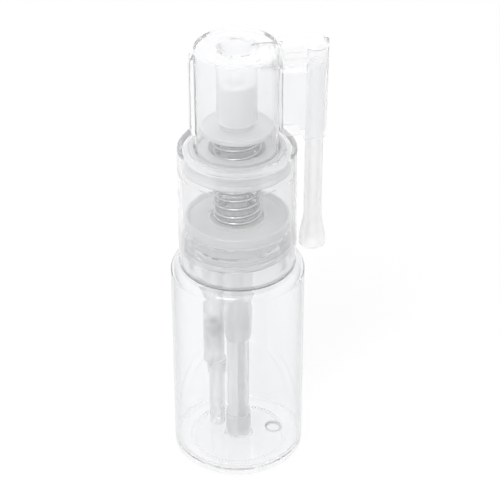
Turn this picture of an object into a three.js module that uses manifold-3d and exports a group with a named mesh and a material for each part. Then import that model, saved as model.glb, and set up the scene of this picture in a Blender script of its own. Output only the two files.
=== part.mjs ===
// Powder puff bottle: a clear bottle with a screw-on air pump, a push button and a
// swivelling elbow that carries a hanging nozzle tube.
// Millimetres, +Z up, the arm points along +X. The sizes and functions below place each piece
// round the bottle's axis; at the end the part moves so that the origin is under the middle of
// its box.
import * as THREE from 'three';
import { mergeVertices } from 'three/addons/utils/BufferGeometryUtils.js';
import Module from 'manifold-3d';

const wasm = await Module();
wasm.setup();

// Clearances
const fit = 0.3; // between two pieces that sit in or on each other
const sealFit = 0.15; // round a seal in its groove
const slip = 0.4; // round the spring and the riser, and over the thread crests

// Bottle
const bottleRadius = 17.5;
const bottleTaper = 0.2; // the body is this much narrower at its base
const bottleHeight = 58.2; // to the flat of the shoulder
const bottleWall = 0.9;
const baseThickness = 1.2;
const baseCorner = 1.6;
const standingRingInner = 13.4;
const basePushUp = 0.7;
const gateRadius = 3.9;
const gateHeight = 0.4;
const shoulderRound = 2.4;
const dimpleRadius = 2.2;
const dimpleDepth = 0.6;
const dimpleDistance = 9.9;
const dimpleAngle = 4.5;

// Neck and its thread
const neckRadius = 12.3;
const neckWall = 1.2;
const neckHeight = 11.0;
const threadPitch = 3.6;
const threadHeight = 0.85;
const threadTurns = 2.1;
const threadRoot = 1.7; // width of a ridge where it grows from its wall
const threadCrest = 0.7;

// Collar, which is also the pump's cylinder
const threadRoom = 0.55; // from the crest of the neck's thread to the bore
const collarWall = 1.3;
const collarDraft = 0.2;
const collarHeight = 33.9;
const collarLip = 1.5;
const collarRound = 0.7;
const collarThreadTurns = 1.5;

// Base of the cylinder, with the plug in the neck, the riser, the dip socket and the air spout
const gasketThickness = 0.6;
const baseFlange = 1.2;
const baseRimHeight = 1.3;
const baseRimWidth = 0.8;
const plugWall = 1.0;
const plugDepth = 9.0;
const powderBore = 1.5;
const riserWall = 1.0;
const riserHeight = 23.4;
const socketWall = 0.5;
const socketLength = 37.5;
const socketTaper = 0.5;
const springSeatHeight = 0.7;
const springSeatWidth = 0.8;

// Dip tube and its foot
const dipRadius = 2.95;
const dipBore = 1.9;
const dipInsert = 8.0;
const dipFluteWidth = 2.0;
const dipFluteDepth = 0.5;
const dipFluteAngle = -79;
const footLength = 6.5;
const footWall = 0.35;
const footFit = 0.1; // the foot is pressed on
const footStandoff = 0.8;
const footNotch = 1.6;

// Air tube, its valve and the housing round them
const airAngle = 145.5;
const airInset = 0.8; // the air tube stands this much nearer the middle than its housing
const airSpoutBore = 0.8;
const airSpoutWall = 0.8;
const airSpoutLength = 4.0;
const housingRadius = 2.8;
const housingWall = 0.45;
const housingDrop = 10.4; // from the flange down to the housing's mouth
const housingLength = 36.0;
const housingFloor = 1.2;
const valveRise = 13.2;
const valveThickness = 5.0;
const valveSlit = 0.5;
const retainerHeight = 3.6;
const retainerBore = 1.1;
const airTubeRadius = 2.05;
const airTubeWall = 0.6;
const airSleeveWall = 0.4;
const airSleeveLength = 3.0;
const airTubeStandoff = 1.2;
const airWindowWidth = 1.2;
const airWindowHeight = 4.5;
const airWindowRise = 1.5;

// Piston and stroke
const stroke = 10.0; // with the hood turned away from the collar
const pistonHeight = 3.8;
const pistonDrop = 0.3; // below the collar's lip when the button is up
const pistonLip = 0.7;
const pistonWaist = 0.5;
const pistonWeb = 1.3;
const pistonHubWall = 0.9;
const pistonBossHeight = 1.6;
const pistonBossRoom = 0.5; // between the boss and the collar's mouth
const grooveForSkirt = 1.3;

// Stem and spring
const springRadius = 6.2;
const springWire = 0.8;
const springTurns = 8.9;
const springEndTurns = 1.2;
const springEndGap = 0.15;
const springRoom = 0.8; // round the spring where it runs through the piston
const stemWall = 1.3;
const stemFlangeLift = 4.8; // from the piston's boss up to the flange
const stemFlangeThickness = 1.3;
const stemNeck = 11.6; // from the flange up to the stem's end
const stemRoof = 2.4; // solid above the riser's bore
const stemSealHeight = 1.4;

// Button
const buttonRadius = 10.5;
const buttonWall = 0.7;
const buttonRoof = 1.2;
const buttonRound = 0.8;
const buttonHead = 10.0; // from the stem's end up to the top
const flatDepth = 0.55;
const flatLift = 1.1; // from the collar up to the flat's foot
const columnWall = 0.5;
const columnLift = 1.6; // from the stem's flange up to the column
const thumbRadius = 4.3;
const thumbDepth = 0.9;
const ductRadius = 3.2;
const spigotSocket = 2.4;
const spigotSocketDepth = 4.8;
const ribWidth = 4.0;
const ribProud = 1.15;
const ribLift = 4.5;
const ribDrop = 1.7;
const mouthRoom = 0.75; // between the rib and the collar's mouth

// Elbow with its hood
const swivelDrop = 3.8; // from the button's top down to the swivel axis
const washerRadius = 2.8;
const washerThickness = 0.6;
const washerRoom = 0.2;
const hoodGap = 0.55; // between the flat and the hood
const hoodWall = 0.5;
const hoodLift = 1.4; // from the collar's top up to the hood's foot
const hoodStep = 1.7; // the foot is this much higher over the collar
const hoodStepRoom = 0.6;
const hoodInnerRound = 2.0;
const hoodOuterRound = 3.0;
const discRadius = 3.5;
const discThickness = 0.9;
const spigotLength = 5.6;
const spigotBore = 1.0;
const sealGrooveWidth = 1.0;
const sealGrooveDepth = 0.5;
const sealGrooveInset = 2.6;

// Nozzle tube
const tubeGap = 1.1; // between the tube's flare and the collar
const tubeRadius = 2.3;
const tubeBore = 1.4;
const tubeDrop = 1.8; // from the swivel axis down to the tube's end
const tubeLead = 2.0; // from the swivel axis up to the end of the tube's seat
const tubeClear = 3.4; // from the bottle's shoulder up to the tube's foot
const tubeFlareRadius = 3.4;
const tubeFlareLength = 8.6;
const tubeFlareStraight = 1.3;

// Facets round each kind of piece
const wideFacets = 30;
const midFacets = 24;
const smallFacets = 12;
const threadFacets = 16;
const springSteps = 10;
const springSides = 6;

// Radii that follow from the sizes above
const neckBore = neckRadius - neckWall;
const collarBore = neckRadius + threadHeight + threadRoom;
const collarRadius = collarBore + collarWall;
const collarMouth = buttonRadius + ribProud + mouthRoom;
const pistonRadius = collarBore - fit;
const riserRadius = powderBore + riserWall;
const stemRadius = riserRadius + slip + stemWall;
const columnRadius = stemRadius + fit + columnWall;
const buttonFlat = buttonRadius - flatDepth;
const stemFlangeRadius = buttonFlat - buttonWall - fit;
const socketBore = dipRadius + 0.15;
const socketTop = socketBore + socketWall + socketTaper;
const airDistance = socketTop + fit + housingRadius;
const spigotRadius = spigotSocket - fit;
const hoodInner = buttonFlat + hoodGap;
const hoodHalfWidth = tubeRadius + fit + hoodWall;
const discInner = buttonFlat + fit + washerThickness + washerRoom;
const tubeDistance = collarRadius + tubeGap + tubeFlareRadius;

// Heights that follow from the sizes above
const innerFloor = baseThickness + basePushUp;
const neckTop = bottleHeight + neckHeight;
const threadFoot = bottleHeight + 0.5 * (neckHeight - threadTurns * threadPitch);
const gasketFoot = neckTop + fit;
const flangeFoot = gasketFoot + gasketThickness + fit;
const floorTop = flangeFoot + baseFlange;
const collarFoot = bottleHeight + slip;
const collarTop = collarFoot + collarHeight;
const lipFoot = collarTop - collarLip;
const pistonTop = lipFoot - pistonDrop;
const pistonFoot = pistonTop - pistonHeight;
const bossTop = pistonTop + pistonBossHeight;
const stemFlangeFoot = bossTop + stemFlangeLift;
const stemFlangeTop = stemFlangeFoot + stemFlangeThickness;
const stemTop = stemFlangeTop + stemNeck;
const stemFoot = floorTop + stroke + stemSealHeight + 1.0;
const springFoot = floorTop + fit;
const springTop = stemFlangeFoot - fit;
const buttonTop = stemTop + buttonHead;
const swivelHeight = buttonTop - swivelDrop;
const hoodFoot = collarTop + hoodLift;
const hoodCeiling = swivelHeight - discRadius - 0.1;
const socketFoot = floorTop - socketLength;
const dipTop = socketFoot + dipInsert;
const housingTop = flangeFoot - housingDrop;
const housingFoot = housingTop - housingLength;
const valveTop = housingFoot + valveRise;
const tubeTop = swivelHeight - tubeDrop;
const tubeFoot = bottleHeight + tubeClear;

// From the bottle's axis to the middle of the box, which reaches from its wall to the tube's flare
const boxMiddle = (tubeDistance + tubeFlareRadius - bottleRadius) / 2;

const degrees = (angle) => (angle * Math.PI) / 180;

// Makes a solid of a closed geometry: shared vertices are merged, folded triangles dropped
function solidOf(geometry) {
  const bare = geometry.index ? geometry.toNonIndexed() : geometry.clone();
  bare.deleteAttribute('normal');
  bare.deleteAttribute('uv');
  const merged = mergeVertices(bare, 1e-5);
  const corners = merged.index.array;
  const kept = [];
  for (let i = 0; i < corners.length; i += 3) {
    const [a, b, c] = [corners[i], corners[i + 1], corners[i + 2]];
    if (a !== b && b !== c && c !== a) kept.push(a, b, c);
  }
  const vertProperties = new Float32Array(merged.attributes.position.array);
  return new wasm.Manifold(new wasm.Mesh({ numProp: 3, vertProperties, triVerts: new Uint32Array(kept) }));
}

function geometryOf(solid) {
  const mesh = solid.getMesh();
  const geometry = new THREE.BufferGeometry();
  geometry.setAttribute('position', new THREE.BufferAttribute(new Float32Array(mesh.vertProperties), 3));
  geometry.setIndex(new THREE.BufferAttribute(new Uint32Array(mesh.triVerts), 1));
  geometry.computeVertexNormals();
  return geometry;
}

// Turns an outline of [radius, height] points round the Z axis, or round an upright at x, y
function revolve(outline, facets, x = 0, y = 0) {
  const points = outline.map(([radius, height]) => new THREE.Vector2(radius, height));
  const area = points.reduce((sum, p, i) => sum + p.cross(points[(i + 1) % points.length]), 0);
  if (area < 0) points.reverse();
  if (points[0].x > 0 || points[points.length - 1].x > 0) points.push(points[0].clone());
  return solidOf(new THREE.LatheGeometry(points, facets).rotateX(Math.PI / 2).translate(x, y, 0));
}

// Points of a round corner from one angle to another, both in degrees
function arc(centreRadius, centreHeight, radius, from, to, steps = 3) {
  return Array.from({ length: steps + 1 }, (_, i) => {
    const angle = degrees(from + ((to - from) * i) / steps);
    return [centreRadius + radius * Math.cos(angle), centreHeight + radius * Math.sin(angle)];
  });
}

function ring(inner, outer, foot, top, facets, x = 0, y = 0) {
  return revolve([[inner, foot], [outer, foot], [outer, top], [inner, top]], facets, x, y);
}

function disc(radius, foot, top, facets, x = 0, y = 0) {
  return revolve([[0, foot], [radius, foot], [radius, top], [0, top]], facets, x, y);
}

// A round bar along X at height z
function bar(radius, from, to, z, facets) {
  const geometry = new THREE.CylinderGeometry(radius, radius, to - from, facets);
  return solidOf(geometry.rotateZ(-Math.PI / 2).translate((from + to) / 2, 0, z));
}

function block(x0, x1, y0, y1, z0, z1) {
  const geometry = new THREE.BoxGeometry(x1 - x0, y1 - y0, z1 - z0);
  return solidOf(geometry.translate((x0 + x1) / 2, (y0 + y1) / 2, (z0 + z1) / 2));
}

class Helix extends THREE.Curve {
  constructor(radius, turns, heightAt) {
    super();
    Object.assign(this, { radius, turns, heightAt });
  }

  getPoint(t, target = new THREE.Vector3()) {
    const angle = 2 * Math.PI * this.turns * t;
    return target.set(this.radius * Math.cos(angle), this.radius * Math.sin(angle), this.heightAt(t));
  }
}

// A screw ridge: its root lies a little inside the wall at rootRadius, its crest at crestRadius
function threadRidge(rootRadius, crestRadius, foot, turns) {
  const steps = Math.round(turns * threadFacets);
  const sunk = rootRadius + 0.3 * Math.sign(rootRadius - crestRadius);
  const section = [
    [sunk, -threadRoot / 2], [crestRadius, -threadCrest / 2],
    [crestRadius, threadCrest / 2], [sunk, threadRoot / 2],
  ];
  const rows = Array.from({ length: steps + 1 }, (_, i) => {
    const angle = (2 * Math.PI * turns * i) / steps;
    const rise = foot + (threadPitch * turns * i) / steps;
    const fade = Math.min(1, 0.4 + 0.2 * Math.min(i, steps - i));
    return section.map(([radius, height]) => {
      const reach = sunk + (radius - sunk) * fade;
      return [reach * Math.cos(angle), reach * Math.sin(angle), rise + height];
    });
  });
  const positions = rows.flat(2);
  const count = section.length;
  const faces = [];
  for (let i = 0; i < steps; i += 1) {
    for (let j = 0; j < count; j += 1) {
      const [a, b] = [i * count + j, i * count + ((j + 1) % count)];
      faces.push(a, b, b + count, a, b + count, a + count);
    }
  }
  for (let j = 1; j < count - 1; j += 1) {
    faces.push(0, j + 1, j);
    faces.push(steps * count, steps * count + j, steps * count + j + 1);
  }
  if (rootRadius < crestRadius) faces.reverse();
  const geometry = new THREE.BufferGeometry();
  geometry.setAttribute('position', new THREE.Float32BufferAttribute(positions, 3));
  geometry.setIndex(faces);
  return solidOf(geometry);
}

function makeBottle() {
  const foot = bottleRadius - bottleTaper;
  const inner = bottleRadius - bottleWall;
  const innerFoot = foot - bottleWall;
  const shoulderFoot = bottleHeight - shoulderRound;
  const innerShoulder = bottleHeight - bottleWall;
  const innerRound = shoulderRound - bottleWall;
  const outline = [
    [0, gateHeight + basePushUp], [gateRadius - 0.5, gateHeight + basePushUp], [gateRadius, basePushUp],
    [standingRingInner - 1.2, basePushUp], [standingRingInner, 0],
    ...arc(foot - baseCorner, baseCorner, baseCorner, -90, 0),
    ...arc(bottleRadius - shoulderRound, shoulderFoot, shoulderRound, 0, 90),
    [neckRadius, bottleHeight], [neckRadius, neckTop - 0.4], [neckRadius - 0.4, neckTop], [neckBore, neckTop],
    [neckBore, innerShoulder - 0.6], [neckBore + 0.6, innerShoulder],
    [inner - innerRound, innerShoulder], [inner - 0.3 * innerRound, innerShoulder - 0.3 * innerRound],
    [inner, innerShoulder - innerRound], [innerFoot, baseThickness + baseCorner],
    [innerFoot - baseCorner, baseThickness], [gateRadius, innerFloor], [0, innerFloor],
  ];
  const dimpleSphere = (dimpleRadius ** 2 + dimpleDepth ** 2) / (2 * dimpleDepth);
  const angle = degrees(dimpleAngle);
  const dimple = solidOf(new THREE.SphereGeometry(dimpleSphere, 16, 16).translate(
    dimpleDistance * Math.cos(angle), dimpleDistance * Math.sin(angle),
    innerFloor - dimpleDepth + dimpleSphere,
  ));
  const thread = threadRidge(neckRadius, neckRadius + threadHeight, threadFoot, threadTurns);
  return revolve(outline, wideFacets).add(thread).subtract(dimple);
}

function makeGasket() {
  return ring(neckBore + fit, neckRadius + fit, gasketFoot, gasketFoot + gasketThickness, midFacets);
}

// The collar's own ridge runs half a pitch above the neck's
function makeCollar() {
  const footRadius = collarRadius + collarDraft;
  const outline = [
    [collarBore + 0.5, collarFoot], [footRadius - 0.3, collarFoot], [footRadius, collarFoot + 0.3],
    ...arc(collarRadius - collarRound, collarTop - collarRound, collarRound, 0, 90),
    [collarMouth + 0.3, collarTop], [collarMouth, collarTop - 0.3], [collarMouth, lipFoot],
    [collarBore, lipFoot], [collarBore, collarFoot + 0.6],
  ];
  const ridgeFoot = threadFoot + threadPitch / 2;
  const thread = threadRidge(collarBore, neckRadius + slip, ridgeFoot, collarThreadTurns);
  return revolve(outline, wideFacets).add(thread);
}

function airPlace(inset = 0) {
  const angle = degrees(airAngle);
  return [(airDistance - inset) * Math.cos(angle), (airDistance - inset) * Math.sin(angle)];
}

// One moulding: floor and rim of the cylinder, plug in the neck, riser, dip socket and air spout
function makeCylinderBase() {
  const rim = collarBore - fit;
  const plug = neckBore - fit;
  const seat = springRadius + slip;
  const outline = [
    [powderBore, floorTop + riserHeight], [powderBore, dipTop + fit],
    [socketBore, dipTop + fit], [socketBore, socketFoot], [socketBore + 0.2, socketFoot],
    [socketBore + socketWall, socketFoot + 1.5], [socketTop, flangeFoot],
    [plug - plugWall, flangeFoot], [plug - plugWall, floorTop - plugDepth],
    [plug - 0.4, floorTop - plugDepth], [plug, floorTop - plugDepth + 1], [plug, flangeFoot],
    [rim, flangeFoot], [rim, floorTop + baseRimHeight], [rim - baseRimWidth, floorTop + baseRimHeight],
    [rim - baseRimWidth - 0.4, floorTop], [seat + springSeatWidth, floorTop],
    [seat + springSeatWidth - 0.2, floorTop + springSeatHeight], [seat, floorTop + springSeatHeight],
    [seat, floorTop], [riserRadius, floorTop], [riserRadius, floorTop + riserHeight - 0.6],
    [riserRadius - 0.4, floorTop + riserHeight],
  ];
  const [x, y] = airPlace();
  const root = floorTop - baseFlange / 2;
  const spoutFoot = housingTop - airSpoutLength;
  const spout = disc(airSpoutBore + airSpoutWall, spoutFoot, root, smallFacets, x, y);
  const spoutRoot = disc(housingRadius, housingTop + fit, root, smallFacets, x, y);
  const hole = disc(airSpoutBore, spoutFoot - 1, floorTop + 1, smallFacets, x, y);
  const bore = disc(powderBore, dipTop, floorTop + riserHeight + 1, midFacets);
  const dipSocket = disc(socketBore, socketFoot - 1, dipTop + fit, midFacets);
  return revolve(outline, midFacets).add(spout).add(spoutRoot).subtract(hole).subtract(bore)
    .subtract(dipSocket);
}

function makeDipTube() {
  const foot = innerFloor + footStandoff + footWall + fit;
  const tube = ring(dipBore, dipRadius, foot, dipTop, midFacets);
  const flute = block(
    -dipFluteWidth / 2, dipFluteWidth / 2, dipRadius - dipFluteDepth, dipRadius + 1,
    foot - 1, socketFoot - fit,
  );
  return tube.subtract(flute.rotate([0, 0, dipFluteAngle - 90]));
}

// Cup at the tube's end that holds it off the bottle's base, with four notches for the powder
function makeIntakeFoot() {
  const foot = innerFloor + fit;
  const inner = dipRadius + footFit;
  const outer = inner + footWall;
  const ledge = foot + footStandoff;
  const cup = revolve([
    [dipBore, foot], [outer, foot], [outer, foot + footLength], [inner, foot + footLength],
    [inner, ledge], [dipBore, ledge],
  ], midFacets);
  const half = footNotch / 2;
  const notch = block(-outer - 1, outer + 1, -half, half, foot - 1, foot + footStandoff / 2);
  return cup.subtract(notch).subtract(notch.rotate([0, 0, 90]));
}

function makeValveHousing() {
  const [x, y] = airPlace();
  const [tubeX, tubeY] = airPlace(airInset);
  const inner = housingRadius - housingWall;
  const cup = revolve([
    [0, housingFoot], ...arc(housingRadius - 1, housingFoot + 1, 1, -90, 0), [housingRadius, housingTop],
    [inner, housingTop], [inner, housingFoot + housingFloor], [0, housingFoot + housingFloor],
  ], smallFacets, x, y);
  const bore = airTubeRadius - airTubeWall;
  const sleeveFoot = housingFoot - airSleeveLength;
  const seat = airTubeRadius + sealFit;
  const sleeve = disc(seat + airSleeveWall, sleeveFoot, housingFoot + 1, smallFacets, tubeX, tubeY);
  const hole = disc(bore, sleeveFoot - 1, housingFoot + 2 * housingFloor, smallFacets, tubeX, tubeY);
  const socket = disc(seat, sleeveFoot - 1, housingFoot, smallFacets, tubeX, tubeY);
  return cup.add(sleeve).subtract(hole).subtract(socket);
}

// Rubber disc with a slit lip: air passes it downwards only
function makeAirValve() {
  const [x, y] = airPlace();
  const radius = housingRadius - housingWall - sealFit;
  const foot = valveTop - valveThickness;
  const body = revolve([
    [0, foot], [0.9, foot], [radius - 0.6, foot + 2], [radius, foot + 2.2], [radius, valveTop],
    [1.2, valveTop], [0.5, foot + 1.5], [0, foot + 1.5],
  ], smallFacets, x, y);
  return body.subtract(block(x - valveSlit, x + valveSlit, y - 0.1, y + 0.1, foot - 1, foot + 2));
}

// Ring below the valve that keeps it in its place
function makeValveRetainer() {
  const [x, y] = airPlace();
  const radius = housingRadius - housingWall - sealFit;
  const top = valveTop - valveThickness - fit;
  const foot = top - retainerHeight;
  return revolve([
    [retainerBore, foot], [radius, foot], [radius, top], [radius - 0.5, top],
    [radius - 0.5, foot + 1], [retainerBore, foot + 1],
  ], smallFacets, x, y);
}

function makeAirTube() {
  const [x, y] = airPlace(airInset);
  const foot = innerFloor + airTubeStandoff;
  const inner = airTubeRadius - airTubeWall;
  const tube = ring(inner, airTubeRadius, foot, housingFoot - fit, smallFacets, x, y);
  const sill = foot + airWindowRise;
  const half = airWindowWidth / 2;
  const window = block(x - half, x + half, y - airTubeRadius - 1, y, sill, sill + airWindowHeight);
  return tube.subtract(window);
}

// The end coils lie close together, the coils between them stand apart
function makeSpring() {
  const wire = springWire / 2;
  const foot = springFoot + wire;
  const top = springTop - wire;
  const turns = springTurns + 2 * springEndTurns;
  const endRise = springEndTurns * (springWire + springEndGap);
  const endShare = springEndTurns / turns;
  const heightAt = (t) => {
    if (t < endShare) return foot + (endRise * t) / endShare;
    if (t > 1 - endShare) return top - (endRise * (1 - t)) / endShare;
    return foot + endRise + ((top - foot - 2 * endRise) * (t - endShare)) / (1 - 2 * endShare);
  };
  const section = new THREE.Shape().absarc(0, 0, wire, 0, 2 * Math.PI);
  const coil = new THREE.ExtrudeGeometry(section, {
    curveSegments: springSides / 2,
    steps: Math.round(turns * springSteps),
    extrudePath: new Helix(springRadius - wire, turns, heightAt),
  });
  return solidOf(coil);
}

// Ring piston with two wiping lips, clipped on the button's skirt
function makePiston() {
  const waist = pistonRadius - pistonWaist;
  const hole = springRadius + springRoom;
  const bossRadius = collarMouth - pistonBossRoom;
  const skirtInner = buttonRadius - buttonWall - fit;
  const grooveOuter = buttonRadius + fit;
  const grooveFloor = bossTop - grooveForSkirt;
  const webFoot = pistonTop - pistonWeb;
  return revolve([
    [hole, pistonFoot + 1], [hole + pistonHubWall, pistonFoot + 1], [hole + pistonHubWall, webFoot],
    [waist - pistonLip, webFoot],
    [pistonRadius - pistonLip, pistonFoot], [pistonRadius, pistonFoot],
    [pistonRadius, pistonFoot + 0.5], [waist, pistonFoot + 1.2], [waist, pistonTop - 1.2],
    [pistonRadius, pistonTop - 0.5], [pistonRadius, pistonTop - 0.2], [pistonRadius - 0.3, pistonTop],
    [bossRadius, pistonTop], [bossRadius, bossTop - 0.3], [bossRadius - 0.3, bossTop],
    [grooveOuter, bossTop], [grooveOuter, grooveFloor], [skirtInner, grooveFloor],
    [skirtInner, bossTop], [hole, bossTop],
  ], wideFacets);
}

function makeStem() {
  const bore = riserRadius + slip;
  const roof = stemTop - stemRoof;
  return revolve([
    [bore, stemFoot], [stemRadius, stemFoot], [stemRadius, stemFlangeFoot],
    [stemFlangeRadius, stemFlangeFoot], [stemFlangeRadius, stemFlangeTop - 0.3],
    [stemFlangeRadius - 0.3, stemFlangeTop], [stemRadius, stemFlangeTop], [stemRadius, stemTop],
    [powderBore, stemTop], [powderBore, roof], [bore, roof],
  ], midFacets);
}

function makeStemSeal() {
  const top = stemFoot - sealFit;
  return revolve([
    [riserRadius + sealFit, top - stemSealHeight], [riserRadius + 0.7, top - stemSealHeight],
    [stemRadius, top - 0.7], [stemRadius, top], [riserRadius + slip, top],
  ], smallFacets);
}

// The shell and the column inside it, with the duct to the arm, the thumb hollow and the guide rib
function makeButton() {
  const skirtFoot = bossTop - grooveForSkirt + fit;
  const inner = buttonRadius - buttonWall;
  const roof = buttonTop - buttonRoof;
  const beyond = buttonRadius + 5;
  const body = revolve([
    [0, skirtFoot], [buttonRadius, skirtFoot],
    ...arc(buttonRadius - buttonRound, buttonTop - buttonRound, buttonRound, 0, 90),
    [thumbRadius, buttonTop], [thumbRadius - 0.9, buttonTop - 0.7 * thumbDepth], [0, buttonTop - thumbDepth],
  ], wideFacets);
  const flatFoot = collarTop + flatLift;
  const flatSide = block(buttonFlat, beyond, -beyond, beyond, flatFoot, buttonTop + 1);
  const innerFlat = block(buttonFlat - buttonWall, beyond, -beyond, beyond, flatFoot - buttonWall, roof + 1);
  const hollow = revolve([
    [0, skirtFoot - 1], [inner, skirtFoot - 1], [inner, roof - 0.6], [inner - 0.6, roof], [0, roof],
  ], wideFacets).subtract(innerFlat);
  const columnFoot = stemFlangeTop + columnLift;
  const column = disc(columnRadius, columnFoot, roof + 0.1, midFacets);
  const stemSocket = disc(stemRadius + fit, columnFoot - 1, stemTop + fit, midFacets);
  const riserChannel = disc(powderBore, stemTop, swivelHeight, smallFacets);
  const duct = bar(ductRadius, 0, buttonFlat - 0.1, swivelHeight, smallFacets);
  const channel = bar(spigotBore, 0, buttonFlat + 1, swivelHeight, smallFacets);
  const socket = bar(spigotSocket, buttonFlat - spigotSocketDepth, buttonFlat + 1, swivelHeight, smallFacets);
  const shell = body.subtract(flatSide).subtract(hollow);
  const inside = column.add(duct);
  return shell.add(inside).add(makeRib()).subtract(stemSocket).subtract(riserChannel)
    .subtract(channel).subtract(socket);
}

// Guide rib on the side away from the arm, its upper end rounded off
function makeRib() {
  const reach = buttonRadius + ribProud;
  const root = buttonRadius - buttonWall / 2;
  const [foot, top] = [collarTop + ribLift, buttonTop - ribDrop];
  const outline = new THREE.Shape()
    .moveTo(-root, foot)
    .lineTo(-root, top)
    .lineTo(-buttonRadius, top)
    .quadraticCurveTo(-reach, top, -reach, top - 2 * ribProud)
    .lineTo(-reach, foot + 0.4)
    .lineTo(-reach + 0.4, foot);
  const rib = new THREE.ExtrudeGeometry(outline, { depth: ribWidth, bevelEnabled: false, curveSegments: 4 });
  return solidOf(rib.rotateX(Math.PI / 2).translate(0, ribWidth / 2, 0));
}

// Plan of the hood: straight sides and a half-round end about the nozzle tube
function hoodPlan(halfWidth, inner, foot, top) {
  const plan = new THREE.Shape()
    .moveTo(inner, -halfWidth)
    .lineTo(tubeDistance, -halfWidth)
    .absarc(tubeDistance, 0, halfWidth, -Math.PI / 2, Math.PI / 2)
    .lineTo(inner, halfWidth);
  const depth = top - foot;
  const hood = new THREE.ExtrudeGeometry(plan, { depth, bevelEnabled: false, curveSegments: 8 });
  return solidOf(hood.translate(0, 0, foot));
}

// Side of the hood: its foot is raised over the collar and its lower corners are rounded
function hoodSide() {
  const end = tubeDistance + hoodHalfWidth;
  const raised = hoodFoot + hoodStep;
  const stepReach = collarRadius + hoodStepRoom;
  const side = new THREE.Shape()
    .moveTo(hoodInner, raised + hoodInnerRound)
    .quadraticCurveTo(hoodInner, raised, hoodInner + hoodInnerRound, raised)
    .lineTo(stepReach, raised)
    .lineTo(stepReach + hoodStep / 2, hoodFoot)
    .lineTo(end - hoodOuterRound / 2, hoodFoot)
    .quadraticCurveTo(end, hoodFoot, end, hoodFoot + hoodOuterRound)
    .lineTo(end, buttonTop)
    .lineTo(hoodInner, buttonTop);
  const depth = 2 * hoodHalfWidth + 2;
  const slab = new THREE.ExtrudeGeometry(side, { depth, bevelEnabled: false, curveSegments: 4 });
  return solidOf(slab.rotateX(Math.PI / 2).translate(0, depth / 2, 0));
}

// Ring space round the spigot that the seal lies in, or the seal itself with its clearance
function sealGroove(inner, outer, clearance) {
  const from = discInner - spigotLength + sealGrooveInset + clearance;
  const to = from + sealGrooveWidth - 2 * clearance;
  return bar(outer, from, to, swivelHeight, smallFacets)
    .subtract(bar(inner, from - 1, to + 1, swivelHeight, smallFacets));
}

// The moulded elbow: hood, duct, bearing disc and the spigot that turns in the button
function makeElbow() {
  const shell = hoodPlan(hoodHalfWidth, hoodInner, hoodFoot - 1, buttonTop + 1).intersect(hoodSide());
  const hollow = hoodPlan(hoodHalfWidth - hoodWall, hoodInner + hoodWall, hoodFoot - 2, hoodCeiling);
  const pocket = bar(ductRadius, hoodInner - 1, discInner, swivelHeight, smallFacets);
  const bearing = bar(discRadius, discInner, discInner + discThickness, swivelHeight, wideFacets);
  const spigotEnd = discInner - spigotLength;
  const spigot = bar(spigotRadius, spigotEnd, discInner + 0.5, swivelHeight, smallFacets);
  const groove = sealGroove(spigotRadius - sealGrooveDepth, spigotRadius + 1, 0);
  const duct = bar(spigotBore, spigotEnd - 1, tubeDistance, swivelHeight, smallFacets);
  const seatTop = swivelHeight + tubeLead;
  const tubeSeat = disc(tubeRadius + fit, hoodFoot - 2, seatTop, midFacets, tubeDistance, 0);
  return shell.subtract(hollow).subtract(pocket).add(bearing).add(spigot)
    .subtract(groove).subtract(duct).subtract(tubeSeat);
}

function makeSwivelWasher() {
  const from = buttonFlat + fit;
  const hole = bar(spigotSocket, from - 1, from + washerThickness + 1, swivelHeight, smallFacets);
  return bar(washerRadius, from, from + washerThickness, swivelHeight, smallFacets).subtract(hole);
}

function makeSwivelSeal() {
  return sealGroove(spigotRadius - sealGrooveDepth + sealFit, spigotSocket - sealFit, sealFit);
}

function makeNozzleTube() {
  const swell = (t) => tubeRadius + (tubeFlareRadius - tubeRadius) * t * t * (3 - 2 * t);
  const flare = Array.from({ length: 6 }, (_, i) => {
    const t = i / 5;
    return [swell(1 - t), tubeFoot + tubeFlareStraight + tubeFlareLength * t];
  });
  return revolve([
    [tubeBore + 0.5, tubeFoot], [tubeFlareRadius - 0.4, tubeFoot], [tubeFlareRadius, tubeFoot + 0.4],
    ...flare, [tubeRadius, tubeTop - 0.3], [tubeRadius - 0.3, tubeTop], [tubeBore, tubeTop],
    [tubeBore, tubeFoot + 6],
  ], midFacets, tubeDistance, 0);
}

const finishes = {
  clearShell: { color: 0xf4f7f8, roughness: 0.05, metalness: 0, transparent: true, opacity: 0.35 },
  frostedWhite: { color: 0xeceeee, roughness: 0.4, metalness: 0, transparent: true, opacity: 0.9 },
  softSeal: { color: 0xdfe0dc, roughness: 0.6, metalness: 0 },
  springSteel: { color: 0xb4b6b8, roughness: 0.25, metalness: 1 },
};

const pieces = [
  ['bottle', makeBottle, 'clearShell'],
  ['neck_gasket', makeGasket, 'softSeal'],
  ['collar', makeCollar, 'clearShell'],
  ['cylinder_base', makeCylinderBase, 'frostedWhite'],
  ['dip_tube', makeDipTube, 'frostedWhite'],
  ['intake_foot', makeIntakeFoot, 'frostedWhite'],
  ['valve_housing', makeValveHousing, 'frostedWhite'],
  ['air_valve', makeAirValve, 'softSeal'],
  ['valve_retainer', makeValveRetainer, 'frostedWhite'],
  ['air_tube', makeAirTube, 'frostedWhite'],
  ['spring', makeSpring, 'springSteel'],
  ['piston', makePiston, 'frostedWhite'],
  ['stem', makeStem, 'frostedWhite'],
  ['stem_seal', makeStemSeal, 'softSeal'],
  ['button', makeButton, 'clearShell'],
  ['swivel_washer', makeSwivelWasher, 'softSeal'],
  ['elbow', makeElbow, 'clearShell'],
  ['swivel_seal', makeSwivelSeal, 'softSeal'],
  ['nozzle_tube', makeNozzleTube, 'frostedWhite'],
];

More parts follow.
